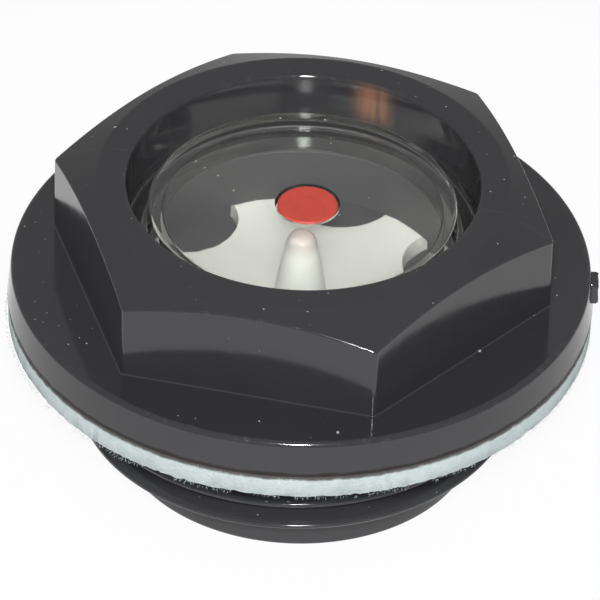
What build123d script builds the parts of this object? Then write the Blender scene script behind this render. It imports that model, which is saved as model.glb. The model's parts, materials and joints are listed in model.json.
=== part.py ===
"""Screw-in sight gauge for the wall of an oil tank.

A black moulded plug with a hexagon head, a wide flange and a hollow M33x2 neck.
A clear hat-shaped window sits on a ledge in the head, with a red marker disc let
into its centre.  Inside the neck a white six-lobed reflector lights the oil from
behind.  A fibre gasket seals the flange against the tank.

Origin: centre of the gasket's lower face, where the gauge meets the tank wall.
+Z points out of the tank, along the plug's axis.  All sizes are in millimetres.
"""
from build123d import *
import os
from math import cos, pi, radians, tan

# ---------------------------------------------------------------- driving sizes

# Threaded neck, inside the tank
thread_major_d = 33.0        # M33 x 2, over the crests
thread_pitch = 2.0
thread_depth_share = 1.2269  # ISO external thread: major to root diameter, in pitches
thread_flank = 30.0          # degrees, of each flank
thread_length = 6.4          # from the relief groove down to the last flank
relief_length = 1.0          # groove below the gasket, where the thread dies out
relief_extra = 0.2           # how far the relief lies below the thread's root
pilot_step = 0.7             # how far the plain pilot lies below the thread's root
pilot_length = 2.0
neck_wall = 1.55             # wall of the pilot around the bore
neck_end_round = 0.3

# Gasket
gasket_thickness = 2.0
gasket_clearance = 0.4       # radial, over the thread
gasket_inset = 0.3           # radial, inside the flange's rim

# Flange
flange_thickness = 3.0
flange_step = 2.85           # radial, from the hexagon's corners to the rim
flange_draft = 5.0           # degrees, widest at the lower edge
flange_top_round = 0.4
flange_foot_round = 0.45
gate_angle = 12.75           # degrees round from a corner of the hexagon
gate_width = 1.8             # stub of the moulding gate on the rim
gate_height = 2.0
gate_stand = 0.4             # how far the stub stands out of the rim
gate_root = 1.2              # how far it reaches into the rim

# Hexagon head
hex_sides = 6
hex_height = 7.75            # from the flange to the flat of the crown
head_wall = 3.4              # from the recess to the middle of a flat
hex_corner_round = 0.4
hex_foot_round = 0.3
crown_land = 2.2             # flat ring around the recess
crown_angle = 26.5           # degrees below horizontal
crown_edge_round = 0.2
recess_mouth_round = 0.35

# Ledge and bores inside
shoulder_width = 0.6         # stops the reflector on its way up the bore
ledge_overhang = 0.5         # ledge under the window, inward from the upper bore
ledge_thickness = 1.2
ledge_seat = 1.2             # width of ledge that the window's brim stands on
sight_chamber = 5.2          # from the ledge's face down to the reflector

# Window
window_depth = 2.15          # window's face below the crown
window_clearance = 0.1       # radial, in the recess
brim_width = 1.5
brim_thickness = 1.6
window_rise = 2.0            # raised part above the brim
window_wall = 1.0
window_face_thickness = 1.4
window_edge_round = 0.3

# Marker disc in the window's face
marker_d = 4.5
marker_thickness = 0.5
marker_clearance = 0.15      # radial, in its pocket
marker_depth = 0.05          # marker's face below the window's face

# Reflector
reflector_thickness = 1.4
reflector_clearance = 0.1    # radial, in the neck's bore
port_count = 6
port_r = 4.35                # scallops that let the oil through
port_reach = 4.8             # how far each scallop bites in from the rim
lobe_round = 0.8
post_base_r = 1.95
post_draft = 10.3            # degrees
post_gap = 2.1               # from the post's tip to the window
post_tip_round = 0.8

# Cuts run past the surfaces that they open
cut_margin = 1.0

# ---------------------------------------------------------------- sizes that follow

# Diameters, from the thread outwards
thread_root_d = thread_major_d - thread_depth_share * thread_pitch
relief_d = thread_root_d - 2 * relief_extra
pilot_d = thread_root_d - 2 * pilot_step
bore_d = pilot_d - 2 * neck_wall
upper_bore_d = bore_d - 2 * shoulder_width
ledge_d = upper_bore_d - 2 * ledge_overhang
recess_d = ledge_d + 2 * ledge_seat
hex_across_flats = recess_d + 2 * head_wall
hex_across_corners = hex_across_flats / cos(pi / hex_sides)
flange_d = hex_across_corners + 2 * flange_step
gasket_d = flange_d - 2 * gasket_inset
gasket_bore_d = thread_major_d + 2 * gasket_clearance

# Heights
flange_z = gasket_thickness
head_z = flange_z + flange_thickness
crown_z = head_z + hex_height
window_z = crown_z - window_depth
brim_z = window_z - window_rise
ledge_z = brim_z - brim_thickness
reflector_z = ledge_z - sight_chamber
thread_top_z = -relief_length
thread_end_z = thread_top_z - thread_length
lead_out = (thread_major_d - relief_d) / 2 * tan(radians(thread_flank))
lead_in = (thread_major_d - pilot_d) / 2 * tan(radians(thread_flank))
pilot_z = thread_end_z - lead_in
neck_end_z = pilot_z - pilot_length


def outer_profile():
    """Half section of the flange and neck, without the bore."""
    rim_r = flange_d / 2
    draft = flange_thickness * tan(radians(flange_draft))
    with BuildLine() as outline:
        Polyline(
            (0, neck_end_z),
            (pilot_d / 2, neck_end_z),
            (pilot_d / 2, pilot_z),
            (thread_major_d / 2, thread_end_z),
            (thread_major_d / 2, thread_top_z),
            (relief_d / 2, thread_top_z + lead_out),
            (relief_d / 2, flange_z),
            (rim_r, flange_z),
            (rim_r - draft, head_z),
            (0, head_z),
            close=True,
        )
    return outline.line


def bore_profile():
    """Half section of everything cut out of the body around its axis."""
    with BuildLine() as outline:
        Polyline(
            (0, neck_end_z),
            (bore_d / 2, neck_end_z),
            (bore_d / 2, reflector_z),
            (upper_bore_d / 2, reflector_z),
            (upper_bore_d / 2, ledge_z - ledge_thickness - ledge_overhang),
            (ledge_d / 2, ledge_z - ledge_thickness),
            (ledge_d / 2, ledge_z),
            (recess_d / 2, ledge_z),
            (recess_d / 2, crown_z),
            (0, crown_z),
            close=True,
        )
    return outline.line


def crown_profile():
    """Half section of the ring that the crown's cone takes off the hexagon."""
    land_r = recess_d / 2 + crown_land
    outer_r = hex_across_corners / 2 + cut_margin
    with BuildLine() as outline:
        Polyline(
            (land_r, crown_z),
            (outer_r, crown_z - (outer_r - land_r) * tan(radians(crown_angle))),
            (outer_r, crown_z + cut_margin),
            (land_r, crown_z + cut_margin),
            close=True,
        )
    return outline.line


# ---------------------------------------------------------------- body

with BuildPart() as body:
    # flange and neck, turned
    with BuildSketch(Plane.XZ):
        make_face(outer_profile())
    revolve(axis=Axis.Z)
    rim_edges = edges().filter_by(GeomType.CIRCLE).sort_by(SortBy.RADIUS)[-2:]
    fillet(rim_edges.sort_by(Axis.Z)[-1], flange_top_round)
    rim_edges = edges().filter_by(GeomType.CIRCLE).sort_by(SortBy.RADIUS)
    fillet(rim_edges[-1], flange_foot_round)
    # stub left by the moulding gate, cut off short
    with BuildSketch(Plane.XY.offset(flange_z + (flange_thickness - gate_height) / 2)):
        with PolarLocations(flange_d / 2 + (gate_stand - gate_root) / 2, 1, start_angle=gate_angle):
            Rectangle(gate_stand + gate_root, gate_width)
    extrude(amount=gate_height)
    # hexagon head, with a corner on +X
    with BuildSketch(Plane.XY.offset(head_z)):
        RegularPolygon(hex_across_flats / 2, hex_sides, major_radius=False)
        fillet(vertices(), hex_corner_round)
    extrude(amount=hex_height)
    hex_foot = faces().filter_by(GeomType.PLANE).filter_by_position(Axis.Z, head_z, head_z)
    fillet(hex_foot[0].inner_wires()[0].edges(), hex_foot_round)
    # conical crown that takes the corners down
    with BuildSketch(Plane.XZ):
        make_face(crown_profile())
    revolve(axis=Axis.Z, mode=Mode.SUBTRACT)
    crown_cone = faces().filter_by(GeomType.CONE).sort_by(Axis.Z)[-1]
    fillet(crown_cone.outer_wire().edges(), crown_edge_round)
    # recess, ledge and bores
    with BuildSketch(Plane.XZ):
        make_face(bore_profile())
    revolve(axis=Axis.Z, mode=Mode.SUBTRACT)
    crown_rim = edges().filter_by(GeomType.CIRCLE).filter_by_position(Axis.Z, crown_z, crown_z)
    fillet(crown_rim.sort_by(SortBy.RADIUS)[0], recess_mouth_round)
    neck_rim = edges().filter_by(GeomType.CIRCLE).filter_by_position(Axis.Z, neck_end_z, neck_end_z)
    fillet(neck_rim, neck_end_round)
body.part.label = "body"

# ---------------------------------------------------------------- gasket

with BuildPart() as gasket:
    with BuildSketch(Plane.XY):
        Circle(gasket_d / 2)
        Circle(gasket_bore_d / 2, mode=Mode.SUBTRACT)
    extrude(amount=gasket_thickness)
gasket.part.label = "gasket"

# ---------------------------------------------------------------- window

brim_d = recess_d - 2 * window_clearance
window_d = brim_d - 2 * brim_width
marker_pocket = marker_depth + marker_thickness

with BuildPart() as window:
    with BuildSketch(Plane.XY.offset(ledge_z)):
        Circle(brim_d / 2)
    extrude(amount=brim_thickness)
    with BuildSketch(Plane.XY.offset(brim_z)):
        Circle(window_d / 2)
    extrude(amount=window_rise)
    fillet(edges().sort_by(Axis.Z)[-1], window_edge_round)
    # hollow underside, so that the clear wall is even
    with BuildSketch(Plane.XY.offset(ledge_z)):
        Circle(window_d / 2 - window_wall)
    extrude(amount=window_z - window_face_thickness - ledge_z, mode=Mode.SUBTRACT)
    # pocket for the marker disc
    with BuildSketch(Plane.XY.offset(window_z)):
        Circle(marker_d / 2 + marker_clearance)
    extrude(amount=-marker_pocket, mode=Mode.SUBTRACT)
window.part.label = "window"

# ---------------------------------------------------------------- marker disc

with BuildPart() as marker:
    with BuildSketch(Plane.XY.offset(window_z - marker_pocket)):
        Circle(marker_d / 2)
    extrude(amount=marker_thickness)
marker.part.label = "marker"

# ---------------------------------------------------------------- reflector

reflector_r = bore_d / 2 - reflector_clearance
port_centre_r = reflector_r - port_reach + port_r
post_tip_z = window_z - window_face_thickness - post_gap
post_height = post_tip_z - reflector_z

with BuildPart() as reflector:
    # plate with scalloped ports; each port faces a flat of the hexagon
    with BuildSketch(Plane.XY.offset(reflector_z - reflector_thickness)):
        Circle(reflector_r)
        with PolarLocations(port_centre_r, port_count, start_angle=180 / port_count):
            Circle(port_r, mode=Mode.SUBTRACT)
        fillet(vertices(), lobe_round)
    extrude(amount=reflector_thickness)
    # tapered post under the marker
    with BuildSketch(Plane.XY.offset(reflector_z)):
        Circle(post_base_r)
    extrude(amount=post_height, taper=post_draft)
    fillet(edges().sort_by(Axis.Z)[-1], post_tip_round)
reflector.part.label = "reflector"

# ---------------------------------------------------------------- files

os.makedirs("parts", exist_ok=True)
for piece in (body, gasket, window, marker, reflector):
    export_step(piece.part, f"parts/{piece.part.label}.step")
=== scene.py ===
"""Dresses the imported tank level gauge: a black moulded plug with a hexagon head and a
threaded neck, its fibre gasket, clear window, red marker and white reflector.

Everything is in metres, in the gauge's own frame: +Z points out of the tank and the
origin is the centre of the gasket's lower face.
"""
import bmesh
import bpy
import json
from bpy.types import Operator, Panel, PropertyGroup
from functools import partial
from math import copysign, cos, pi, radians, sin, tan
from mathutils import Matrix, Quaternion, Vector, noise


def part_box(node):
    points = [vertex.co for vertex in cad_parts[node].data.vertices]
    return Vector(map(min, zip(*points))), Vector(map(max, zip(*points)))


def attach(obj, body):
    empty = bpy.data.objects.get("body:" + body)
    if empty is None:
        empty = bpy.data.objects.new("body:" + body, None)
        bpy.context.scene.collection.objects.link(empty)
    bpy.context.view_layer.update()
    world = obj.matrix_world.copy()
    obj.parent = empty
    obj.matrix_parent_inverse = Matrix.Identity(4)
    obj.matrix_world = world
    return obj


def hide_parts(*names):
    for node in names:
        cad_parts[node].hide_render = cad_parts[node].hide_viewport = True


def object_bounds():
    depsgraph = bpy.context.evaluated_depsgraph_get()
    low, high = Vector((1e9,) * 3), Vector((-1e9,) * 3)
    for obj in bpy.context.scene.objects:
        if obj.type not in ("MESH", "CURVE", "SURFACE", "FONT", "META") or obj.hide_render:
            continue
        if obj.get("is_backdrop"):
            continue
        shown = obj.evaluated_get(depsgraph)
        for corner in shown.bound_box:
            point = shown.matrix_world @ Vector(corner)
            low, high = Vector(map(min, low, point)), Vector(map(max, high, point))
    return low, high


bl_info = {
    "name": "Tank level gauge",
    "version": (1, 0, 0),
    "blender": (4, 5, 0),
    "location": "3D View > Sidebar > Gauge",
    "description": "Builds the visible pieces of a screw-in sight gauge",
    "category": "Object",
}

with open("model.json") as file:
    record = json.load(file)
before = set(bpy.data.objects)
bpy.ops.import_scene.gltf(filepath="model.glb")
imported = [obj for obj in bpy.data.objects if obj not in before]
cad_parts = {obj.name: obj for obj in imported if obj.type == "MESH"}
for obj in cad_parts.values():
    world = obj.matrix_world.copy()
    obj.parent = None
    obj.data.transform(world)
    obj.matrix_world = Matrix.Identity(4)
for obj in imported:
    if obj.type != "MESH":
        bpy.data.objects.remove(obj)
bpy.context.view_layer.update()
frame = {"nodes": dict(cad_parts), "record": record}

MM = 0.001
ROOT = "root"
HEX_SIDES = 6
SEAM = 1e-7          # points this near each other are one point
HAIR = 0.01 * MM     # gap that keeps two faces apart
CRISP = 0.08 * MM    # round of a moulding's crisp edges
SOFT = 0.12 * MM     # round of its softer edges


def top_of(node):
    """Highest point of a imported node."""
    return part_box(node)[1].z


def foot_of(node):
    """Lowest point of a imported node."""
    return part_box(node)[0].z


def reach_of(node):
    """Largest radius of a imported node, measured along Y."""
    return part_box(node)[1].y


def crest_of_thread():
    """Radius over the thread's crests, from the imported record's mount."""
    mounts = frame["record"]["mounts"]
    return next(entry for entry in mounts if entry["name"] == "thread")["dims"]["r_mm"] * MM


# ---- settings

def length(name, description, millimetres, least=0.0):
    """A size, given here in millimetres and kept in metres."""
    return bpy.props.FloatProperty(
        name=name, description=description, default=millimetres * MM, min=least * MM,
        subtype="DISTANCE", unit="LENGTH", precision=5,
    )


def angle(name, description, degrees):
    """An angle, given here in degrees."""
    return bpy.props.FloatProperty(
        name=name, description=description, default=radians(degrees),
        subtype="ANGLE", unit="ROTATION",
    )


def share(name, description, default):
    """A number from 0 to 1."""
    return bpy.props.FloatProperty(
        name=name, description=description, default=default, min=0.0, max=1.0,
        subtype="FACTOR",
    )


def colour(name, description, default):
    """A linear colour."""
    return bpy.props.FloatVectorProperty(
        name=name, description=description, default=default, size=4,
        min=0.0, max=1.0, subtype="COLOR",
    )


def count(name, description, default):
    """A whole number."""
    return bpy.props.IntProperty(name=name, description=description, default=default, min=1)


class PlugSizes(PropertyGroup):
    """Sizes of the black moulded plug."""

    across_flats: length("Across flats", "Spanner size of the head", 33.046)
    corner_round: length("Corner round", "Radius of the hexagon's upright edges", 0.4)
    crown_angle: angle("Crown angle", "Slope of the conical crown", 26.5)
    crown_land: length("Crown land", "Flat ring around the recess", 2.2)
    mouth_round: length("Mouth round", "Radius of the recess's mouth", 0.35)
    flange_thickness: length("Flange thickness", "From the gasket to the head", 3.0)
    flange_draft: angle("Flange draft", "Taper of the flange's rim", 5.0)
    neck_wall: length("Neck wall", "Wall of the pilot around the bore", 1.55)
    ledge_reach: length("Ledge reach", "Ledge under the window", 1.2)
    ledge_thickness: length("Ledge thickness", "Ledge under the window", 1.2)
    shoulder: length("Shoulder", "Stop that the reflector is pushed against", 0.6)
    pilot_length: length("Pilot length", "Plain end of the neck", 2.2)
    neck_flash: length("Neck flash", "Moulded lip past the end of the neck", 0.6)
    foot_round: length("Foot round", "Fillet at the foot of the hexagon", 0.12)
    rim_round: length("Rim round", "Lower edge of the flange", 0.2)
    rim_top_round: length("Rim top round", "Upper edge of the flange", 0.4)
    crown_round: length("Crown round", "Edge between the crown and the flats", 0.22)
    land_round: length("Land round", "Edge between the crown's ring and its slope", 0.5)
    outer_round: length("Outer round", "Edges of the neck", 0.3)
    inner_round: length("Inner round", "Edges of the bores and grooves", 0.1)
    relief_extra: length("Relief", "How far the groove lies below the thread's root", 0.2)
    gate_angle: angle("Gate angle", "Where the gate's stub stands", 12.75)
    flat_steps: count("Steps", "Mesh columns for each side of the hexagon", 60)


class ThreadSizes(PropertyGroup):
    """Sizes of the helical thread."""

    pitch: length("Pitch", "Rise in one turn", 2.0)
    flank: angle("Flank", "Half of the thread's angle", 30.0)
    depth_share: share("Depth", "Height of the ridge in pitches", 0.6134)
    crest_share: share("Crest", "Flat of the crest in pitches", 0.125)
    meet_angle: angle("Meeting angle", "Where the crest meets the lead-in cone", 135.0)
    low_end: length("Low end", "Rim of the lead-in cone", -7.8, -20)
    high_end: length("High end", "Where the thread starts to die out", -1.0, -20)
    low_chamfer: length("Low chamfer", "From the rim of the lead-in cone to its foot", 0.32)
    high_chamfer: length("High chamfer", "From the last full crest to the relief", 0.7)
    crest_round: length("Crest round", "Radius of the crest's edges", 0.15)
    sunk: length("Sunk", "How far the ridge's foot lies inside the neck", 0.15)
    mesh_step: length("Mesh step", "Spacing of points across the ridge", 0.12)
    steps: count("Steps", "Points of the helix in one turn", 160)


class GasketSizes(PropertyGroup):
    """Sizes of the fibre ring under the flange."""

    bore_gap: length("Bore gap", "Radial gap over the thread", 0.4)
    squeeze: length("Squeeze", "How far the rim is pressed outwards", 0.2)
    edge_round: length("Edge round", "Crushed corners of the ring", 0.22)
    foot_round: length("Foot round", "Frayed lower corner of the rim", 0.34)
    crush: length("Crush", "How deep the corners are crushed", 0.16)
    ripple: length("Ripple", "Unevenness of the faces", 0.05)
    steps: count("Steps", "Mesh columns for a sixth of the ring", 110)
    fibre_length: length("Fibre length", "Loose fibres along the lower edge", 0.26)
    fibre_width: length("Fibre width", "Thickness of one fibre", 0.036)
    fibres: count("Fibres", "How many loose fibres the edge has", 1700)


class SightSizes(PropertyGroup):
    """Sizes of the window, its marker and the reflector behind them."""

    brim_width: length("Brim width", "Flat brim around the raised face", 1.5)
    brim_thickness: length("Brim thickness", "Brim on the ledge", 1.6)
    wall: length("Wall", "Upright wall of the raised part", 1.0)
    face: length("Face", "Thickness of the raised face", 1.4)
    edge_round: length("Edge round", "Radius of the raised edge", 0.3)
    seat_gap: length("Seat gap", "Radial gap in the recess", 0.1)
    pocket_gap: length("Pocket gap", "Radial gap around the marker", 0.15)
    marker_off: length("Marker offset", "How far the pocket lies off the axis", 0.36)
    marker_side: angle("Marker side", "Direction in which the pocket lies off the axis", 12.75)
    plate: length("Plate", "Thickness of the reflector's plate", 1.4)
    reflector_round: length("Reflector round", "Softened edges of the reflector", 0.18)
    sharp_angle: angle("Sharp angle", "Least bend of an edge that is softened", 35.0)
    window_steps: count("Window steps", "Mesh columns for a sixth of the window", 36)
    marker_steps: count("Marker steps", "Mesh columns for a sixth of the marker", 24)


class Finishes(PropertyGroup):
    """Colours of the finishes."""

    plastic: colour("Plastic", "Black moulding", (0.0290, 0.0285, 0.0315, 1.0))
    fibre: colour("Fibre", "Pressed gasket", (0.655, 0.740, 0.740, 1.0))
    clear: colour("Window", "Clear moulding", (0.90, 0.90, 0.88, 1.0))
    marker: colour("Marker", "Red disc", (0.640, 0.072, 0.050, 1.0))
    white: colour("Reflector", "White moulding", (0.84, 0.85, 0.80, 1.0))
    # also lends the colour of the painted glints on the crown
    dust: colour("Dust", "Pale specks and lint", (0.62, 0.61, 0.58, 1.0))


class StageSettings(PropertyGroup):
    """Camera, lamp, surroundings and floor."""

    azimuth: angle("Azimuth", "Where the camera stands, from +X", -77.25)
    elevation: angle("Elevation", "Camera above the horizon", 37.65)
    distance: length("Distance", "From the camera to the gauge", 705.4)
    aim_height: length("Aim height", "Point of the axis that the camera looks at", 1.54)
    roll: angle("Roll", "Turn of the camera about its view", 1.6425)
    lens: bpy.props.FloatProperty(name="Lens", description="Focal length in mm", default=565.9)
    key_power: bpy.props.FloatProperty(
        name="Key", description="Power of the lamp above the camera", default=4.7, unit="POWER")
    key_size: length("Key size", "Diameter of the lamp above the camera", 90)
    key_rise: angle("Key rise", "How far the lamp stands above the camera", 3.5)
    fill_level: share("Fill", "Even light from all round", 0.27)
    backdrop: share("Backdrop", "Grey that is seen beyond the floor", 0.36)
    floor_glow: share("Floor glow", "How far the floor is pure white", 0.93)
    floor_half: length("Floor", "Half of the floor's side", 3000)
    floor_reach: length("Floor reach", "Where the white floor has faded to grey", 110)


SETTINGS = {
    "gauge_plug": PlugSizes,
    "gauge_thread": ThreadSizes,
    "gauge_gasket": GasketSizes,
    "gauge_sight": SightSizes,
    "gauge_finish": Finishes,
    "gauge_stage": StageSettings,
}


# ---- node trees

def arithmetic(operation, swapped=False):
    """A method by which a sum, product or comparison of values adds a Math node."""
    def method(self, other):
        terms = (other, self) if swapped else (self, other)
        return self.graph.math(operation, *terms)
    return method


def grey(level):
    """A grey of this level."""
    return (level, level, level, 1.0)


class Value:
    """One output of a node. Sums and products of it add Math nodes."""

    def __init__(self, graph, socket):
        self.graph = graph
        self.socket = socket

    def math(self, operation, *others):
        """The result of a Math node whose first term is this value."""
        return self.graph.math(operation, self, *others)

    def output(self, name):
        """Another output of the same node."""
        return Value(self.graph, self.socket.node.outputs[name])

    def __getattr__(self, name):
        """Any method of the graph, with this value as its first term."""
        return partial(getattr(self.graph, name), self)

    __add__ = arithmetic("ADD")
    __radd__ = arithmetic("ADD", swapped=True)
    __sub__ = arithmetic("SUBTRACT")
    __rsub__ = arithmetic("SUBTRACT", swapped=True)
    __mul__ = arithmetic("MULTIPLY")
    __truediv__ = arithmetic("DIVIDE")
    __mod__ = arithmetic("FLOORED_MODULO")
    __gt__ = arithmetic("GREATER_THAN")
    __lt__ = arithmetic("LESS_THAN")

    def __abs__(self):
        return self.math("ABSOLUTE")


class Graph:
    """A node tree under construction."""

    def __init__(self, tree):
        self.tree = tree

    def node(self, kind, settings=None, inputs=None, output=0):
        """Adds a node, sets it, feeds its sockets and returns one of its outputs."""
        made = self.tree.nodes.new(kind)
        for name, value in (settings or {}).items():
            setattr(made, name, value)
        for key, value in (inputs or {}).items():
            socket = self.find(made.inputs, key)
            if isinstance(value, Value):
                self.tree.links.new(value.socket, socket)
            else:
                socket.default_value = value
        return Value(self, self.find(made.outputs, output)) if made.outputs else made

    def add(self, kind, settings=None, output=0, **sockets):
        """Adds a node whose sockets are named here, with underscores for spaces."""
        inputs = {name.replace("_", " "): value for name, value in sockets.items()}
        return self.node(kind, settings, inputs, output)

    @staticmethod
    def find(sockets, key):
        """A socket by number, by identifier or by name."""
        if isinstance(key, int):
            return sockets[key]
        for socket in sockets:
            if socket.identifier == key:
                return socket
        return sockets[key]

    def math(self, operation, *terms):
        """The result of a Math node."""
        return self.node("ShaderNodeMath", {"operation": operation}, dict(enumerate(terms)))

    def vector(self, x=0.0, y=0.0, z=0.0):
        """A vector from three numbers."""
        return self.add("ShaderNodeCombineXYZ", X=x, Y=y, Z=z)

    def part(self, vector, axis):
        """One number of a vector."""
        return self.node("ShaderNodeSeparateXYZ", None, {0: vector}, axis)

    def arrow(self, operation, *terms, output=0):
        """The result of a Vector Math node."""
        settings = {"operation": operation}
        return self.node("ShaderNodeVectorMath", settings, dict(enumerate(terms)), output)

    def scaled(self, vector, by):
        """A vector whose three parts are scaled, each by its own number."""
        return self.arrow("MULTIPLY", vector, by)

    def stretch(self, vector, factor):
        """A vector times a number."""
        settings = {"operation": "SCALE"}
        return self.add("ShaderNodeVectorMath", settings, Vector=vector, Scale=factor)

    def off_axis(self, place):
        """Distance from the gauge's axis."""
        return self.arrow("LENGTH", self.scaled(place, (1.0, 1.0, 0.0)), output="Value")

    def bearing(self, place):
        """Direction from the gauge's axis, in radians from +X."""
        return self.math("ARCTAN2", self.part(place, "Y"), self.part(place, "X"))

    def seen(self):
        """1 for what the camera sees directly, mirrored or through the window."""
        path = self.add("ShaderNodeLightPath", output="Is Camera Ray")
        mirrored = path.math("MAXIMUM", path.output("Is Glossy Ray"))
        return mirrored.math("MAXIMUM", path.output("Is Transmission Ray"))

    def blend(self, factor, first, second):
        """A colour between two colours."""
        inputs = {"Factor_Float": factor, "A_Color": first, "B_Color": second}
        return self.node("ShaderNodeMix", {"data_type": "RGBA"}, inputs, "Result_Color")

    def between(self, value, low, high, out_low=0.0, out_high=1.0):
        """Maps the span from low to high smoothly to another span, and holds its ends."""
        inputs = {"Value": value, "From Min": low, "From Max": high,
                  "To Min": out_low, "To Max": out_high}
        return self.node("ShaderNodeMapRange", {"interpolation_type": "SMOOTHSTEP"}, inputs)

    @staticmethod
    def lighter(colour, factor):
        """A colour times a number, with its alpha kept."""
        return (colour[0] * factor, colour[1] * factor, colour[2] * factor, 1.0)

    def shades(self, factor, colour, dark, light):
        """A colour between a darker and a lighter shade of itself."""
        return self.blend(factor, self.lighter(colour, dark), self.lighter(colour, light))

    def noise(self, vector, scale, detail=2.0, roughness=0.5):
        """Cloudy noise from 0 to 1."""
        return self.add("ShaderNodeTexNoise", Vector=vector, Scale=scale,
                        Detail=detail, Roughness=roughness)


class PieceTree(Graph):
    """A Geometry Nodes tree with named inputs, ending in Realize Instances and Set Material."""

    def __init__(self, name):
        tree = bpy.data.node_groups.new(name, "GeometryNodeTree")
        tree.is_modifier = True
        super().__init__(tree)
        tree.interface.new_socket("Geometry", in_out="INPUT", socket_type="NodeSocketGeometry")
        tree.interface.new_socket("Geometry", in_out="OUTPUT", socket_type="NodeSocketGeometry")
        self.entry = tree.nodes.new("NodeGroupInput")
        self.given = {}

    def source(self):
        """The geometry that the modifier is given."""
        return Value(self, self.entry.outputs["Geometry"])

    def setting(self, name, value, kind="Float"):
        """A named input of the tree, with the value that this piece gives it."""
        socket = self.tree.interface.new_socket(
            name, in_out="INPUT", socket_type="NodeSocket" + kind)
        self.given[socket.identifier] = value
        return Value(self, self.entry.outputs[name])

    def position(self):
        """Where each point is."""
        return self.add("GeometryNodeInputPosition")

    def named(self, label):
        """A named number of each point."""
        settings = {"data_type": "FLOAT"}
        return self.add("GeometryNodeInputNamedAttribute", settings, "Attribute", Name=label)

    def moved(self, geometry, **where):
        """Geometry whose points are given a Position or an Offset."""
        return self.add("GeometryNodeSetPosition", Geometry=geometry, **where)

    def random(self, low, high, seed):
        """A random number for each point."""
        inputs = {"Min_001": low, "Max_001": high, "Seed": seed}
        return self.node("FunctionNodeRandomValue", {"data_type": "FLOAT"}, inputs, "Value_001")

    def apply(self, piece, geometry, material):
        """Closes the tree, runs it on a piece and keeps the result as its plain mesh."""
        real = self.add("GeometryNodeRealizeInstances", Geometry=geometry)
        finish = self.setting("Finish", material, "Material")
        dressed = self.add("GeometryNodeSetMaterial", Geometry=real, Material=finish)
        exit_node = self.tree.nodes.new("NodeGroupOutput")
        self.tree.links.new(dressed.socket, exit_node.inputs["Geometry"])
        modifier = piece.modifiers.new(self.tree.name, "NODES")
        modifier.node_group = self.tree
        for identifier, value in self.given.items():
            modifier[identifier] = value
        graph = bpy.context.evaluated_depsgraph_get()
        mesh = bpy.data.meshes.new_from_object(piece.evaluated_get(graph))
        piece.modifiers.clear()
        piece.data = mesh
        return piece


class Finish(Graph):
    """A material under construction. Patterns on it are measured in millimetres."""

    def __init__(self, name):
        self.material = bpy.data.materials.new(name)
        self.material.use_nodes = True
        self.material.node_tree.nodes.clear()
        super().__init__(self.material.node_tree)

    def place(self):
        """The place on the piece, in millimetres."""
        spot = self.add("ShaderNodeTexCoord", output="Object")
        return self.stretch(spot, 1.0 / MM)

    def attribute(self, label):
        """A number that the mesh carries."""
        return self.node("ShaderNodeAttribute", {"attribute_name": label}, None, "Fac")

    def facing_up(self):
        """1 on level faces, 0 on upright ones."""
        return self.part(self.add("ShaderNodeNewGeometry", output="Normal"), "Z")

    def specks(self, place, spacing, size, keep):
        """Small round specks. Keep is the share of the places that have one."""
        scattered = self.add("ShaderNodeTexVoronoi", Vector=place, Scale=1.0 / spacing)
        chance = self.node("ShaderNodeSeparateColor", None, {0: scattered.output("Color")})
        return (scattered < size / spacing) * (chance < keep)

    def hairlines(self, place, stretch_by, scale, edge):
        """Fine straight scratches along one direction."""
        drawn = self.scaled(place, stretch_by)
        return self.between(self.noise(drawn, scale, 3.0, 0.6), edge, edge + 0.05)

    def bump(self, height, depth):
        """A normal for relief of this depth in metres."""
        return self.add("ShaderNodeBump", Height=height, Strength=1.0, Distance=depth)

    def surface(self, **sockets):
        """A Principled shader."""
        return self.add("ShaderNodeBsdfPrincipled", **sockets)

    def layer(self, factor, lower, upper):
        """One shader over another."""
        return self.node("ShaderNodeMixShader", None, {0: factor, 1: lower, 2: upper})

    def done(self, shader):
        """Sends the shader to the material's output and returns the material."""
        self.add("ShaderNodeOutputMaterial", Surface=shader)
        return self.material


# ---- finishes

# brown of the painted reflection on the recess's wall
PAINTED_BRONZE_REFLECTION = (0.23, 0.115, 0.072, 1.0)
# dark colour of the painted shade under the flange
PAINTED_SHADE = (0.020, 0.015, 0.013, 1.0)
SMEAR = (0.42, 0.48, 0.49, 1.0)
FLECK = (0.80, 0.84, 0.82, 1.0)
DARK_TOP_FIBRE = (0.050, 0.037, 0.034, 1.0)
HAZE = (0.70, 0.71, 0.68, 1.0)
LET_THROUGH = (0.90, 0.91, 0.90, 1.0)
GATE_SPECKS = (0.80, 0.42, 0.36, 1.0)
# pinkish grey of the painted shadow and red reflection under the marker
PAINTED_SHADOW_AND_RED = (0.46, 0.39, 0.36, 1.0)
DIRT = (0.03, 0.03, 0.03, 1.0)


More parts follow.
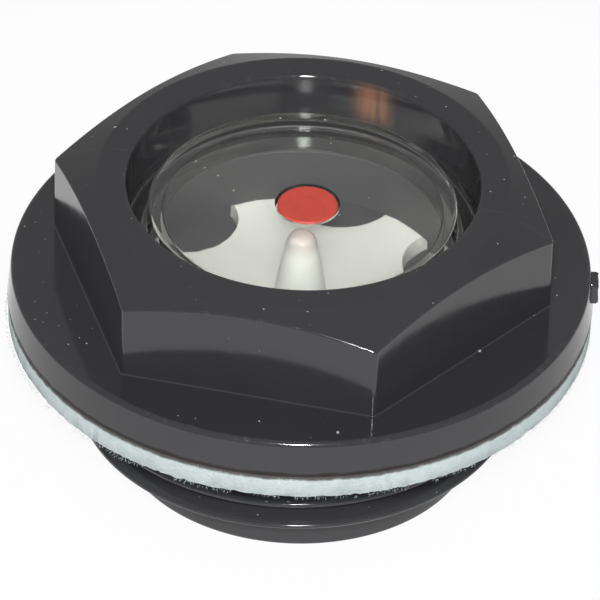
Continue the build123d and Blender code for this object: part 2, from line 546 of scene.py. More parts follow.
def black_plastic(colours):
    """Glossy black moulding: faint waves, rubbed edges, hairlines, settled dust, painted glints on
    the crown, a painted reflection in the recess and painted shade below.
    """
    finish = Finish("Black plastic")
    place = finish.place()
    wear = finish.attribute("wear")
    clouds = place.noise(0.16, 3.0)
    smudges = place.noise(0.55, 5.0, 0.65)
    grain = place.noise(7.0, 2.0)
    waves = place.noise(0.45, 1.0)
    rubbed = wear * place.noise(1.1, 4.0, 0.7).between(0.50, 0.80)
    scratches = place.hairlines((0.25, 5.0, 1.0), 0.8, 0.70)
    crossing = place.hairlines((4.0, 0.3, 1.2), 0.7, 0.72)
    lines = scratches.math("MAXIMUM", crossing)
    level = finish.facing_up().between(0.45, 0.9)
    drifts = place.noise(0.25, 3.0).between(0.45, 0.72)
    dust = place.specks(0.62, 0.075, 0.16) * drifts
    crumbs = place.specks(1.9, 0.13, 0.05)
    settled = dust.math("MAXIMUM", crumbs) * level

    deep = finish.shades(clouds, colours.plastic, 1.0, 1.25)
    scuffed = finish.blend(rubbed * 0.45, deep, finish.lighter(colours.plastic, 3.0))
    marked = finish.blend(lines * 0.25 * level, scuffed, finish.lighter(colours.plastic, 2.4))
    # painted reflection: a brown band on the recess's wall
    with_painted_reflection = finish.blend(recess_painted_reflection(place), marked, PAINTED_BRONZE_REFLECTION)
    # painted glints on the crown, in a paler shade of the dust's colour
    glint_colour = finish.lighter(colours.dust, 0.8)
    with_painted_glints = finish.blend(crown_painted_glints(place) * 0.75, with_painted_reflection, glint_colour)
    dusty = finish.blend(settled * 0.8, with_painted_glints, colours.dust)

    # the recess is polished, the bores below it are dull
    out = place.off_axis()
    recess = reach_of("window") / MM
    on_wall = abs(out - recess) < 0.3
    in_bores = out < recess - 0.5
    gloss = 0.10 + smudges.between(0.30, 0.85) * 0.05 + rubbed * 0.2
    polished = gloss - on_wall * 0.05 + in_bores * 0.35
    relief = waves * 0.4 + grain * 0.012 - lines * 0.04
    normal = finish.bump(relief + parting_line(place) * 1.2, 0.02 * MM)
    clean = finish.surface(
        Base_Color=dusty, Roughness=polished + settled * 0.5, Normal=normal, IOR=1.54)

    # painted shade along the flange's lower edge: a dark, rougher layer where its lower round lies
    # in shadow
    shade_under_flange = finish.surface(Base_Color=PAINTED_SHADE, Roughness=0.55, IOR=1.35)
    above_gasket = place.part("Z") - top_of("gasket") / MM + (smudges - 0.5) * 0.5
    edge = above_gasket.between(0.28, 0.50, 1.0, 0.0) * (out > 20.0)
    return finish.done(finish.layer(edge * 0.9, clean, shade_under_flange))


def recess_painted_reflection(place):
    """Where a painted reflection lies on the recess's wall, as a brown band: 1 in the band, 0
    outside it.
    """
    side, half_width, soft = radians(80.0), radians(1.5), radians(8.0)
    # wavering edges and streaks of the painted reflection
    wobble = place.scaled((2.0, 2.0, 0.10)).noise(1.0, 3.0, 0.6)
    across = abs(place.bearing() - side) + (wobble - 0.5) * 0.06
    film = across.between(half_width, half_width + soft, 1.0, 0.0)
    wall = abs(place.off_axis() - reach_of("window") / MM) < 0.3
    height_up = place.part("Z")
    low, high = foot_of("window") / MM, top_of("body") / MM
    above_foot = height_up.between(low + 1.5, low + 3.6)
    below_mouth = height_up.between(high - 0.9, high, 1.0, 0.2)
    streaks = wobble.between(0.30, 0.62, 0.45, 1.0)
    return film * wall * above_foot * below_mouth * streaks


def crown_painted_glints(place):
    """Painted glints: short pale marks in two patches of the crown, which stand in for highlights
    on raised lettering.
    """
    turn = place.bearing()
    front = abs(turn + radians(82.0)).between(radians(6.0), radians(30.0), 1.0, 0.0)
    rear = abs(turn - radians(93.0)).between(radians(8.0), radians(34.0), 1.0, 0.0)
    middle_of_land = 15.3
    ring = abs(place.off_axis() - middle_of_land).between(0.5, 1.5, 1.0, 0.0)
    strokes = place.scaled((0.7, 1.5, 1.0)).specks(0.55, 0.085, 0.20)
    broken = place.noise(1.7, 3.0, 0.6).between(0.48, 0.60)
    return strokes * broken * ring * front.math("MAXIMUM", rear)


def parting_line(place):
    """Ridge left by the mould on the crown, through two opposite corners."""
    half_width, wander = 0.09, 0.16
    off = abs(place.part("Y") + (place.noise(0.8, 2.0) - 0.5) * wander)
    above_flange = place.part("Z") > top_of("gasket") / MM + 4.0
    return off.between(0.0, half_width, 1.0, 0.0) * above_flange


def pressed_fibre(colours):
    """Pale gasket sheet: matted fibres, flecks, grey smears and a darker upper edge under the
    flange.
    """
    finish = Finish("Pressed fibre")
    place = finish.place()
    matted = place.noise(3.2, 6.0, 0.75)
    laid = place.scaled((1.0, 1.0, 3.5)).noise(2.4, 5.0, 0.7)
    smears = place.noise(0.30, 4.0, 0.6).between(0.50, 0.74)
    flecks = place.specks(0.5, 0.07, 0.22)
    pale = finish.shades(matted, colours.fibre, 0.78, 1.22)
    smeared = finish.blend(smears * 0.40, pale, SMEAR)
    flecked = finish.blend(flecks * 0.4, smeared, FLECK)
    top = top_of("gasket") / MM
    height_up = place.part("Z") + (place.noise(1.3, 4.0, 0.7) - 0.5) * 0.35
    # darker along the upper edge, under the flange
    near_top = height_up.between(top - 0.40, top - 0.16)
    darker_top = finish.blend(near_top * 0.9, flecked, DARK_TOP_FIBRE)
    normal = finish.bump(matted * 0.8 + laid * 0.9, 0.16 * MM)
    return finish.done(finish.surface(Base_Color=darker_top, Roughness=0.88, Normal=normal))


def clear_moulding(colours):
    """Slightly milky window with fine dust, which lets lamp light through to what is behind."""
    finish = Finish("Clear moulding")
    place = finish.place()
    film = place.noise(0.35, 4.0, 0.6)
    dust = place.specks(0.9, 0.075, 0.10)
    lint = place.scaled((1.0, 0.45, 1.0)).specks(2.6, 0.11, 0.07)
    upward = finish.facing_up().between(0.6, 0.9)
    settled = dust.math("MAXIMUM", lint) * upward
    ripple = finish.bump(place.noise(0.5, 1.0), 0.006 * MM)
    glass = finish.surface(Base_Color=colours.clear, Roughness=0.035, IOR=1.49,
                           Transmission_Weight=1.0, Normal=ripple)
    haze = finish.surface(Base_Color=HAZE, Roughness=0.6)
    milky = finish.layer(film.between(0.3, 0.8, 0.004, 0.018) * upward, glass, haze)
    specks = finish.surface(Base_Color=colours.dust, Roughness=0.9)
    dusty = finish.layer(settled * 0.8, milky, specks)
    through = finish.add("ShaderNodeBsdfTransparent", Color=LET_THROUGH)
    shadow = finish.add("ShaderNodeLightPath", output="Is Shadow Ray")
    upright = abs(finish.facing_up()).between(0.45, 0.93, 0.88, 0.0)
    return finish.done(finish.layer(shadow.math("MAXIMUM", upright), dusty, through))


def red_plastic(colours):
    """Red disc with a faint mottle and pale specks at its gate."""
    finish = Finish("Red plastic")
    place = finish.place()
    mottle = place.noise(1.6, 4.0, 0.6)
    red = finish.shades(mottle, colours.marker, 0.82, 1.15)
    gate = place.specks(0.30, 0.07, 0.35) * (place.off_axis() < 0.45)
    speckled = finish.blend(gate * 0.6, red, GATE_SPECKS)
    normal = finish.bump(place.noise(0.9, 3.0) * 0.6 + gate * 0.5, 0.02 * MM)
    return finish.done(finish.surface(
        Base_Color=speckled, Roughness=0.24 + mottle * 0.2, Normal=normal))


def white_plastic(colours):
    """White reflector with a few dark specks, and near the post's tip a painted shadow of the
    marker, tinted by its painted red reflection.
    """
    finish = Finish("White plastic")
    place = finish.place()
    clouds = place.noise(0.5, 3.0)
    white = finish.shades(clouds, colours.white, 0.95, 1.04)
    tip = top_of("reflector") / MM
    # painted shadow of the marker, tinted by a painted red reflection, towards the post's tip
    tip_shadow_and_red = place.part("Z").between(tip - 2.0, tip - 0.3) * 0.8
    with_tip_shadow = finish.blend(tip_shadow_and_red, white, PAINTED_SHADOW_AND_RED)
    dirt = place.specks(1.7, 0.10, 0.07)
    dirty = finish.blend(dirt * 0.8, with_tip_shadow, DIRT)
    normal = finish.bump(place.noise(0.8, 3.0), 0.02 * MM)
    return finish.done(finish.surface(Base_Color=dirty, Roughness=0.42, Normal=normal))


def lint_finish(colours):
    """Pale lint and moulding crumbs."""
    finish = Finish("Lint")
    place = finish.place()
    shade = place.noise(6.0, 3.0)
    pale = finish.shades(shade, colours.dust, 0.4, 1.0)
    normal = finish.bump(place.noise(12.0, 4.0), 0.03 * MM)
    return finish.done(finish.surface(Base_Color=pale, Roughness=0.9, Normal=normal))


# ---- pieces

def link(name, data):
    """A new object in the scene, at the origin."""
    made = bpy.data.objects.new(name, data)
    bpy.context.scene.collection.objects.link(made)
    return made


def new_piece(name, points, edges=(), faces=()):
    """An object whose mesh holds these points."""
    mesh = bpy.data.meshes.new(name)
    mesh.from_pydata(points, edges, faces)
    return link(name, mesh)


def settle(piece, node):
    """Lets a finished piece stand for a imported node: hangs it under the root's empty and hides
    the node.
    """
    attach(piece, ROOT)
    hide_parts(node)


class Section:
    """Half section of a turned piece, drawn anticlockwise.

    Each corner is its radius, height, round, wear and pull. Wear says how far its round is
    rubbed. The pull, outwards and downwards, moves it where the piece's outline leaves the
    circle, as a hexagon's does away from the middle of a side.
    """

    ROUND_STEPS = 6
    HOLD = 0.05 * MM    # a ring this near each round keeps the faces beside it flat
    WHOLE = (0.0, 0.0, 0.0, 0.0, (0.0, 0.0))

    def __init__(self, *corners, closed=True):
        self.closed = closed
        self.corners = [corner + self.WHOLE[len(corner):] for corner in corners]

    def points(self):
        """Every point of the section as (radius, height, pull out, pull down, wear)."""
        made = []
        total = len(self.corners)
        places = [Vector(corner[:2]) for corner in self.corners]
        for index, (_, _, rounding, wear, pull) in enumerate(self.corners):
            place = places[index]
            at_end = not self.closed and index in (0, total - 1)
            if at_end or rounding == 0.0:
                made.append((*place, *pull, wear))
                continue
            before, after = places[index - 1] - place, places[(index + 1) % total] - place
            arc = self.rounded(place, before, after, rounding)
            made += [(*spot, *pull, wear * worn) for spot, worn in arc]
        return made

    def rounded(self, place, before, after, rounding):
        """The arc that takes the place of one corner, with a ring on each side."""
        half = before.angle(after) / 2
        setback = min(rounding / tan(half), 0.45 * before.length, 0.45 * after.length)
        radius = setback * tan(half)
        middle = (before.normalized() + after.normalized()).normalized()
        centre = place + middle * (radius / sin(half))
        side = 1 if before.cross(after) < 0 else -1
        arc = []
        for step in range(self.ROUND_STEPS + 1):
            turn = (pi - 2 * half) * (step / self.ROUND_STEPS - 0.5)
            arm = Matrix.Rotation(turn * side, 2) @ (-middle)
            arc.append((centre + arm * radius, 1.0))
        first, last = [
            place + way.normalized() * (setback + min(self.HOLD, 0.3 * (way.length - setback)))
            for way in (before, after)]
        return [(first, 0.0)] + arc + [(last, 0.0)]


def turn_section(name, section, material, steps, across_flats=0.0, corner_round=0.0):
    """Turns a section about the axis. Pulled corners follow a hexagon with rounded edges."""
    drawn = section.points()
    piece = new_piece(name, [(radius, 0.0, height) for radius, height, *_ in drawn])
    for column, label in ((2, "pull_out"), (3, "pull_down"), (4, "wear")):
        field = piece.data.attributes.new(label, "FLOAT", "POINT")
        field.data.foreach_set("value", [point[column] for point in drawn])

    tree = PieceTree("Turned piece")
    flats = tree.setting("Across flats", across_flats)
    rounding = tree.setting("Corner round", corner_round)
    crowding = tree.setting("Crowding", 0.93)
    each_side = tree.setting("Columns for each side", steps, "Int")
    along = tree.setting("Rows", len(drawn) - (0 if section.closed else 1), "Int")
    around = each_side * HEX_SIDES

    # a flat grid, one column for each step round and one row for each step of the section
    grid = tree.add("GeometryNodeMeshGrid", output="Mesh", Size_X=1.0, Size_Y=1.0,
                    Vertices_X=around + 1, Vertices_Y=along + 1)
    column = (tree.position().part("X") + 0.5) * around
    row = (tree.position().part("Y") + 0.5) * along
    size = tree.add("GeometryNodeAttributeDomainSize", Geometry=tree.source())
    number = (row + 0.5).math("FLOOR") % size

    # columns crowd towards the hexagon's corners
    sector = column / each_side
    swing = (sector * (2 * pi)).math("SINE") * crowding / (2 * pi)
    theta = (sector - swing) * (2 * pi / HEX_SIDES)

    # distance from the axis to the hexagon's side, or to the round of its corner
    half_side = pi / HEX_SIDES
    off_middle = abs((theta % (2 * half_side)) - half_side)
    flat_reach = flats / 2 / off_middle.math("COSINE")
    arc_centre = (flats / 2 - rounding) / cos(half_side)
    off_corner = half_side - off_middle
    aside = arc_centre * off_corner.math("SINE")
    span = (rounding * rounding - aside * aside).math("MAXIMUM", 0.0)
    arc_reach = arc_centre * off_corner.math("COSINE") + span.math("SQRT")
    on_arc = off_middle.math("TANGENT") * flats / 2 > arc_centre * sin(half_side)
    beyond_flat = flat_reach + (arc_reach - flat_reach) * on_arc - flats / 2

    def sample(value, kind="FLOAT"):
        return tree.add("GeometryNodeSampleIndex", {"data_type": kind},
                        Geometry=tree.source(), Value=value, Index=number)

    base = sample(tree.position(), "FLOAT_VECTOR")
    radius = base.part("X") + sample(tree.named("pull_out")) * beyond_flat
    level = base.part("Z") + sample(tree.named("pull_down")) * beyond_flat
    placed = tree.vector(radius * theta.math("COSINE"), radius * theta.math("SINE"), level)

    marked = tree.add("GeometryNodeStoreNamedAttribute", {"data_type": "FLOAT"},
                      Geometry=grid, Name="wear", Value=sample(tree.named("wear")))
    shaped = tree.moved(marked, Position=placed)
    joined = tree.add("GeometryNodeMergeByDistance", Geometry=shaped, Distance=SEAM)
    smooth = tree.add("GeometryNodeSetShadeSmooth", Geometry=joined)
    return tree.apply(piece, smooth, material)


def plug_section(plug):
    """Half section of the moulded plug through the middle of a flat."""
    sight, thread = bpy.context.scene.gauge_sight, bpy.context.scene.gauge_thread
    crown, under_flange, ledge_top = top_of("body"), top_of("gasket"), foot_of("window")
    neck_end = foot_of("body") - plug.neck_flash
    pilot_top = foot_of("body") + plug.pilot_length
    root = crest_of_thread() - thread.depth_share * thread.pitch
    low_foot = thread.low_end - thread.low_chamfer
    high_foot = thread.high_end + thread.high_chamfer
    relief = root - plug.relief_extra
    head_foot = under_flange + plug.flange_thickness
    rim = reach_of("body")
    upper_rim = rim - plug.flange_thickness * tan(plug.flange_draft)
    flat = plug.across_flats / 2
    recess = reach_of("window") + sight.seat_gap
    land = recess + plug.crown_land
    slope = tan(plug.crown_angle)
    ledge = recess - plug.ledge_reach
    ledge_foot = ledge_top - plug.ledge_thickness
    bore = reach_of("reflector") + sight.seat_gap
    upper_bore = bore - plug.shoulder
    shoulder = foot_of("reflector") + sight.plate
    inner, outer = plug.inner_round, plug.outer_round
    return Section(
        (bore, neck_end, outer, 0.4),
        (bore + plug.neck_wall, neck_end, outer, 0.6),
        (bore + plug.neck_wall, pilot_top, 2 * inner),
        (root, low_foot, 1.2 * inner),
        (root, high_foot, inner),
        (relief, high_foot + 1.2 * inner, inner),
        (relief, under_flange, outer),
        (rim, under_flange, plug.rim_round, 0.5),
        (upper_rim, head_foot, plug.rim_top_round, 1.0),
        (flat, head_foot, plug.foot_round, 0.0, (1.0, 0.0)),
        (flat, crown - slope * (flat - land), plug.crown_round, 1.0, (1.0, -slope)),
        (land, crown, plug.land_round, 0.2),
        (recess, crown, plug.mouth_round, 0.7),
        (recess, ledge_top, 1.5 * inner),
        (ledge, ledge_top, 1.5 * inner),
        (ledge, ledge_foot, inner),
        (upper_bore, ledge_foot - (upper_bore - ledge), inner),
        (upper_bore, shoulder, inner),
        (bore, shoulder, inner))


def thread_ridge(name, material, sizes):
    """Sweeps the ridge of a right-hand thread along its helix. Both ends die out flat."""
    depth = sizes.depth_share * sizes.pitch
    half_crest = sizes.crest_share * sizes.pitch / 2
    half_foot = half_crest + (depth + sizes.sunk) * tan(sizes.flank)
    outline = Section(
        (-sizes.sunk, -half_foot), (depth, -half_crest, sizes.crest_round),
        (depth, half_crest, sizes.crest_round), (-sizes.sunk, half_foot))
    drawn = finely_divided([(out, up) for out, up, *_ in outline.points()], sizes.mesh_step)
    edges = [(index, (index + 1) % len(drawn)) for index in range(len(drawn))]
    piece = new_piece(name, [(out, up, 0.0) for out, up in drawn], edges)
    low = sizes.low_end - sizes.low_chamfer
    high = sizes.high_end + sizes.high_chamfer

    tree = PieceTree("Thread")
    pitch = tree.setting("Pitch", sizes.pitch)
    turns = tree.setting("Turns", (high - low) / sizes.pitch)
    fade = tree.setting("Run-out in turns", 0.15)
    root = tree.setting("Root radius", crest_of_thread() - depth)
    start = sizes.meet_angle + 2 * pi * (low - sizes.low_end) / sizes.pitch
    begin = tree.setting("Start angle", start)
    low_face = tree.setting("Low face", low)
    high_face = tree.setting("High face", high)
    helix = tree.add("GeometryNodeCurveSpiral", Resolution=sizes.steps, Rotations=turns,
                     Start_Radius=root, End_Radius=root, Height=pitch * turns, Reverse=True)
    moved = tree.add("GeometryNodeTransform", Geometry=helix,
                     Translation=tree.vector(z=low_face), Rotation=tree.vector(z=begin))
    upright = tree.add("GeometryNodeSetCurveNormal", {"mode": "Z_UP"}, Curve=moved)
    profile = tree.add("GeometryNodeMeshToCurve", Mesh=tree.source())
    along = tree.add("GeometryNodeSplineParameter") * turns
    from_end = along.math("MINIMUM", turns - along) / fade
    ridge = tree.add("GeometryNodeCurveToMesh", Curve=upright, Profile_Curve=profile,
                     Fill_Caps=True, Scale=from_end.between(0.0, 1.0, 0.05, 1.0))

    # the ends are turned off flat
    place = tree.position()
    z = place.part("Z").math("MAXIMUM", low_face).math("MINIMUM", high_face)
    kept = tree.vector(place.part("X"), place.part("Y"), z)
    turned = tree.moved(ridge, Position=kept)
    smooth = tree.add("GeometryNodeSetShadeSmooth", Geometry=turned)
    return tree.apply(piece, smooth, material)


def finely_divided(outline, step):
    """A closed outline with points added wherever two lie further apart than a step."""
    points = []
    for index, spot in enumerate(outline):
        here, ahead = Vector(spot), Vector(outline[(index + 1) % len(outline)])
        parts = max(1, round((ahead - here).length / step))
        points += [tuple(here.lerp(ahead, part / parts)) for part in range(parts)]
    return points


def gasket_ring(name, material, sizes):
    """Fibre ring with crushed edges and a slightly uneven face."""
    bore = crest_of_thread() + sizes.bore_gap
    rim = reach_of("gasket") + sizes.squeeze
    low, high = foot_of("gasket"), top_of("gasket")
    edge = sizes.edge_round
    section = Section((bore, low, edge, 0.4), (rim, low, sizes.foot_round, 1.0),
                      (rim, high, edge, 0.6), (bore, high, edge, 0.4))
    ring = turn_section(name, section, material, sizes.steps)

    tree = PieceTree("Crushed edge")
    amount = tree.setting("Crush", sizes.crush)
    ripple = tree.setting("Ripple", sizes.ripple)
    place = tree.position().stretch(1.0 / MM)
    coarse = place.noise(2.6, 4.0, 0.7).between(0.35, 0.75)
    fine = place.noise(3.5, 3.0)
    dent = (tree.named("wear") * coarse * amount + fine * ripple) * -1.0
    normal = tree.add("GeometryNodeInputNormal")
    return tree.apply(ring, tree.moved(tree.source(), Offset=normal.stretch(dent)), material)


def frayed_fibres(name, material, sizes):
    """Loose fibres and burrs that stand out of the gasket's lower edge."""
    piece = new_piece(name, [(0.0, 0.0, 0.0)])
    tree = PieceTree("Frayed edge")
    rim = tree.setting("Rim radius", reach_of("gasket") + sizes.squeeze)
    reach = tree.setting("Fibre length", sizes.fibre_length)
    width = tree.setting("Fibre width", sizes.fibre_width)
    number = tree.setting("Fibres", sizes.fibres, "Int")
    seed = tree.setting("Seed", 4, "Int")
    ring = tree.add("GeometryNodeMeshCircle", Vertices=number, Radius=rim)
    aside, lowest, highest = -0.16 * MM, 0.14 * MM, 0.42 * MM
    jitter = tree.vector(tree.random(aside, 0.0, seed), tree.random(aside, 0.0, seed + 1.0),
                         tree.random(lowest, highest, seed + 2.0))
    spread = tree.moved(ring, Offset=jitter)
    patches = tree.position().stretch(1.0 / MM).noise(0.55, 2.0)

    fibre = tree.add("GeometryNodeCurveQuadraticBezier", Start=(0.0, 0.0, 0.0),
                     Middle=(0.55, 0.22, 0.05), End=(0.85, -0.15, -0.22), Resolution=6)
    profile = tree.add("GeometryNodeCurvePrimitiveCircle", Resolution=4, Radius=1.0)
    thin = tree.add("GeometryNodeTransform", Geometry=fibre, Scale=tree.vector(reach, reach, reach))
    taper = tree.add("GeometryNodeSplineParameter").between(0.2, 1.0, 1.0, 0.35)
    swept = tree.add("GeometryNodeCurveToMesh", Curve=thin, Profile_Curve=profile,
                     Scale=taper * width * 0.5, Fill_Caps=True)
    turned = tree.vector(    # rolled, dipped below level, and swung round from outwards
        tree.random(-1.4, 1.4, seed + 3.0), tree.random(0.2, 1.2, seed + 4.0),
        tree.position().bearing() + tree.random(-0.9, 0.9, seed + 5.0))
    scale = tree.random(0.30, 0.95, seed + 6.0)
    placed = tree.add("GeometryNodeInstanceOnPoints", Points=spread, Instance=swept,
                      Selection=patches > 0.42, Rotation=turned,
                      Scale=tree.vector(scale, scale, scale))
    return tree.apply(piece, placed, material)


def loose_crumbs(name, plug_piece, material):
    """Moulding crumbs that lie on the flange's upper face."""
    piece = new_piece(name, [(0.0, 0.0, 0.0)])
    piece.data = plug_piece.data.copy()
    tree = PieceTree("Loose crumbs")
    level = tree.setting("Level", top_of("gasket") + bpy.context.scene.gauge_plug.flange_thickness)
    density = tree.setting("Crumbs for each square metre", 14000.0)
    seed = tree.setting("Seed", 11, "Int")
    up = tree.add("GeometryNodeInputNormal").part("Z")
    height_off = abs(tree.position().part("Z") - level)
    flat_top = (height_off < 0.25 * MM) * (up > 0.4)
    scattered = tree.add("GeometryNodeDistributePointsOnFaces", output="Points",
                         Mesh=tree.source(), Selection=flat_top, Density=density, Seed=seed)
    size = tree.setting("Crumb size", 0.09 * MM)
    crumb = tree.add("GeometryNodeMeshIcoSphere", Radius=size, Subdivisions=2)
    lumps = tree.position().stretch(1.0 / MM).noise(14.0, 2.0)
    shaped = tree.moved(crumb, Position=tree.position().stretch(0.35 + lumps * 1.3))
    scale = tree.random(0.35, 1.2, seed + 2.0)
    turned = tree.vector(z=tree.random(0.0, 2 * pi, seed + 3.0))
    placed = tree.add("GeometryNodeInstanceOnPoints", Points=scattered, Instance=shaped,
                      Rotation=turned, Scale=tree.vector(scale * 1.5, scale, scale * 0.6))
    return tree.apply(piece, placed, material)


def gate_stub(name, material, plug):
    """Torn stub of the moulding gate on the flange's rim."""
    rim = reach_of("body")
    half_width, half_height, tear = 0.9 * MM, 1.0 * MM, 0.12 * MM
    squareness, tears_per_metre, around = 0.35, 2200.0, 40
    middle = Vector((0.0, 0.0, top_of("gasket") + plug.flange_thickness / 2))
    turn = Matrix.Rotation(plug.gate_angle, 3, "Z")
    # rings from inside the rim to the torn end: how far out, and the share of full size
    rings = [(-0.9, 1.0), (0.18, 1.0), (0.30, 0.93), (0.34, 0.80), (0.33, 0.50), (0.36, 0.22)]
    points = []
    for out, part in rings:
        for step in range(around):
            swing = 2 * pi * step / around
            side, up = [copysign(abs(way) ** squareness, way) for way in (cos(swing), sin(swing))]
            spot = Vector((0.0, side * half_width * part, up * half_height * part))
            torn = noise.noise(spot * tears_per_metre) * tear if out > 0.2 else 0.0
            spot.x = rim + out * MM + torn
            points.append(turn @ spot + middle)
    points.append(turn @ Vector((rim + 0.30 * MM, 0.0, 0.0)) + middle)
    faces = []
    last = (len(rings) - 1) * around
    for step in range(around):
        beside = (step + 1) % around
        faces += [(row + step, row + beside, row + beside + around, row + step + around)
                  for row in range(0, last, around)]
        faces.append((last + step, last + beside, len(points) - 1))
    faces.append(tuple(reversed(range(around))))
    piece = new_piece(name, points, faces=faces)
    piece.data.shade_smooth()
    piece.data.materials.append(material)
    return piece


def window_hat(name, material, sizes):
    """Clear window: a brim on the ledge and a raised face with a pocket for the marker."""
    brim = reach_of("window")
    low, high = foot_of("window"), top_of("window")
    brim_top, face_foot = low + sizes.brim_thickness, high - sizes.face
    raised = brim - sizes.brim_width
    inside = raised - sizes.wall
    pocket, pocket_floor = reach_of("marker") + sizes.pocket_gap, foot_of("marker")
    inner, pocket_mouth, pocket_foot = 0.15 * MM, 0.05 * MM, 0.04 * MM
    section = Section(
        (0.0, face_foot), (inside, face_foot, inner), (inside, low, CRISP), (brim, low, CRISP),
        (brim, brim_top, SOFT), (raised, brim_top, inner), (raised, high, sizes.edge_round),
        (pocket, high, pocket_mouth), (pocket, pocket_floor, pocket_foot), (0.0, pocket_floor),
        closed=False)
    return turn_section(name, section, material, sizes.window_steps)


def nudge_centre(piece, shift, held, free):
    """Moves what lies near the axis sideways, less and less between two radii."""
    for point in piece.data.vertices:
        out = Vector((point.co.x, point.co.y)).length
        share_moved = min(1.0, max(0.0, (free - out) / (free - held)))
        point.co += shift * share_moved
    return piece


def marker_disc(name, material, sizes):
    """Red disc with rounded edges, a hair above the floor of its pocket."""
    low, high, rim = foot_of("marker") + HAIR, top_of("marker"), reach_of("marker")
    section = Section(
        (0.0, low), (rim, low, CRISP), (rim, high, SOFT), (0.0, high), closed=False)
    return turn_section(name, section, material, sizes.marker_steps)


def soft_reflector(name, material, sizes):
    """Six-lobed reflector with softened edges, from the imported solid."""
    mesh = frame["nodes"]["reflector"].data.copy()
    shape = bmesh.new()
    shape.from_mesh(mesh)
    bmesh.ops.remove_doubles(shape, verts=shape.verts, dist=5 * SEAM)
    sharp = [edge for edge in shape.edges
             if edge.is_manifold and edge.calc_face_angle() > sizes.sharp_angle]
    bmesh.ops.bevel(shape, geom=sharp, offset=sizes.reflector_round, segments=3,
                    profile=0.5, affect="EDGES", clamp_overlap=True)
    shape.to_mesh(mesh)
    shape.free()
    mesh.materials.clear()
    mesh.materials.append(material)
    mesh.shade_smooth()
    return link(name, mesh)


# ---- stage

def stage_floor(settings):
    """White floor that fades to grey away from the gauge, keeps its shadow and is open below."""
    half = settings.floor_half
    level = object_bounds()[0][2] - HAIR
    corners = [(-half, -half, level), (half, -half, level), (half, half, level),
               (-half, half, level)]
    floor = new_piece("floor", corners, faces=[(0, 1, 2, 3)])
    finish = Finish("Floor")
    away = finish.place().off_axis()
    faded = away.between(0.5 * settings.floor_reach / MM, settings.floor_reach / MM)
    beyond = grey(settings.backdrop)
    matt = finish.add("ShaderNodeBsdfDiffuse", Color=finish.blend(faded, grey(0.95), beyond))
    bright = finish.add("ShaderNodeEmission", Color=finish.blend(faded, grey(1.0), beyond))
    lit = finish.layer(finish.seen() * settings.floor_glow, matt, bright)
    below = finish.add("ShaderNodeNewGeometry", output="Backfacing")
    clear = finish.add("ShaderNodeBsdfTransparent")
    floor.data.materials.append(finish.done(finish.layer(below, lit, clear)))
    floor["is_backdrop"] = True


def stage_world(settings):
    """Even grey light from all round, before a paler backdrop."""
    world = bpy.data.worlds.new("Surroundings")
    world.use_nodes = True
    world.node_tree.nodes.clear()
    graph = Graph(world.node_tree)
    shade = graph.blend(graph.seen(), grey(settings.fill_level), grey(settings.backdrop))
    sky = graph.add("ShaderNodeBackground", Color=shade)
    graph.add("ShaderNodeOutputWorld", Surface=sky)
    bpy.context.scene.world = world


def stand(name, data, settings, elevation, roll=0.0):
    """Stands a lamp or camera off at the camera's azimuth, aimed at the gauge."""
    body = link(name, data)
    aim = Vector((0.0, 0.0, settings.aim_height))
    flat = Vector((cos(settings.azimuth), sin(settings.azimuth), 0.0)) * cos(elevation)
    body.location = aim + (flat + Vector((0.0, 0.0, sin(elevation)))) * settings.distance
    look = (aim - body.location).to_track_quat("-Z", "Y")
    body.rotation_euler = (look @ Quaternion((0.0, 0.0, 1.0), roll)).to_euler()
    return body


def stage_lamp(settings):
    """A round soft lamp above the camera."""
    lamp = bpy.data.lights.new("Key", "AREA")
    lamp.shape = "DISK"
    lamp.size = settings.key_size
    lamp.energy = settings.key_power
    stand("Key", lamp, settings, settings.elevation + settings.key_rise)


def stage_camera(settings):
    """Long lens, from above and slightly to one side."""
    camera = bpy.data.cameras.new("Camera")
    camera.sensor_width = 36.0
    camera.lens = settings.lens
    bpy.context.scene.camera = stand(
        "Camera", camera, settings, settings.elevation, settings.roll)


# ---- operators

class GAUGE_OT_plug(Operator):
    """Builds the black plug: head, flange and neck, with the stub of its gate"""

    bl_idname = "gauge.plug"
    bl_label = "Plug"

    def execute(self, context):
        sizes = context.scene.gauge_plug
        finish = black_plastic(context.scene.gauge_finish)
        body = turn_section("plug", plug_section(sizes), finish, sizes.flat_steps,
                            sizes.across_flats, sizes.corner_round)
        settle(body, "body")
        settle(gate_stub("gate_stub", finish, sizes), "body")
        crumbs = loose_crumbs("crumbs", body, lint_finish(context.scene.gauge_finish))
        settle(crumbs, "body")
        return {"FINISHED"}


class GAUGE_OT_thread(Operator):
    """Winds the thread round the neck"""

    bl_idname = "gauge.thread"
    bl_label = "Thread"

    def execute(self, context):
        finish = bpy.data.materials["Black plastic"]
        settle(thread_ridge("thread", finish, context.scene.gauge_thread), "body")
        return {"FINISHED"}


class GAUGE_OT_gasket(Operator):
    """Builds the fibre gasket and its frayed edge"""

    bl_idname = "gauge.gasket"
    bl_label = "Gasket"

    def execute(self, context):
        sizes = context.scene.gauge_gasket
        finish = pressed_fibre(context.scene.gauge_finish)
        settle(gasket_ring("gasket_ring", finish, sizes), "gasket")
        settle(frayed_fibres("gasket_fibres", finish, sizes), "gasket")
        return {"FINISHED"}


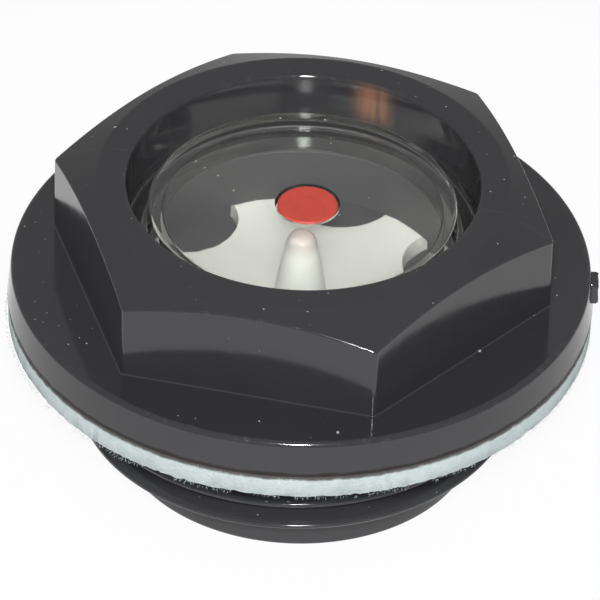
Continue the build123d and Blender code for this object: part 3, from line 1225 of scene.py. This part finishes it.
class GAUGE_OT_sight(Operator):
    """Builds the clear window, its red marker and the white reflector"""

    bl_idname = "gauge.sight"
    bl_label = "Window, marker and reflector"

    def execute(self, context):
        sizes = context.scene.gauge_sight
        colours = context.scene.gauge_finish
        pocket = reach_of("marker") + sizes.pocket_gap
        shift = Vector((cos(sizes.marker_side), sin(sizes.marker_side), 0.0)) * sizes.marker_off
        window = window_hat("sight_window", clear_moulding(colours), sizes)
        settle(nudge_centre(window, shift, 1.1 * pocket, 3 * pocket), "window")
        disc = marker_disc("marker_disc", red_plastic(colours), sizes)
        settle(nudge_centre(disc, shift, pocket, 2 * pocket), "marker")
        settle(soft_reflector("white_reflector", white_plastic(colours), sizes), "reflector")
        return {"FINISHED"}


class GAUGE_OT_stage(Operator):
    """Sets up the floor, the surroundings, the lamp and the camera"""

    bl_idname = "gauge.stage"
    bl_label = "Stage"

    def execute(self, context):
        settings = context.scene.gauge_stage
        context.scene.view_settings.view_transform = "Standard"
        stage_floor(settings)
        stage_world(settings)
        stage_lamp(settings)
        stage_camera(settings)
        return {"FINISHED"}


class GAUGE_PT_sidebar(Panel):
    """Lists the gauge's pieces, sizes and colours"""

    bl_idname = "GAUGE_PT_sidebar"
    bl_label = "Tank level gauge"
    bl_space_type = "VIEW_3D"
    bl_region_type = "UI"
    bl_category = "Gauge"

    def draw(self, context):
        for operator in OPERATORS:
            self.layout.operator(operator.bl_idname)
        for name, group in SETTINGS.items():
            box = self.layout.box()
            for setting in group.__annotations__:
                box.prop(getattr(context.scene, name), setting)


OPERATORS = (GAUGE_OT_plug, GAUGE_OT_thread, GAUGE_OT_gasket, GAUGE_OT_sight, GAUGE_OT_stage)
CLASSES = (*SETTINGS.values(), *OPERATORS, GAUGE_PT_sidebar)


def register():
    """Adds the settings, the operators and the panel."""
    for entry in CLASSES:
        bpy.utils.register_class(entry)
    for name, group in SETTINGS.items():
        setattr(bpy.types.Scene, name, bpy.props.PointerProperty(type=group))


def unregister():
    """Takes them away again."""
    for name in SETTINGS:
        delattr(bpy.types.Scene, name)
    for entry in reversed(CLASSES):
        bpy.utils.unregister_class(entry)


def main():
    """Builds the whole gauge."""
    register()
    bpy.ops.gauge.plug()
    bpy.ops.gauge.thread()
    bpy.ops.gauge.gasket()
    bpy.ops.gauge.sight()
    bpy.ops.gauge.stage()


if __name__ == "__main__":
    main()
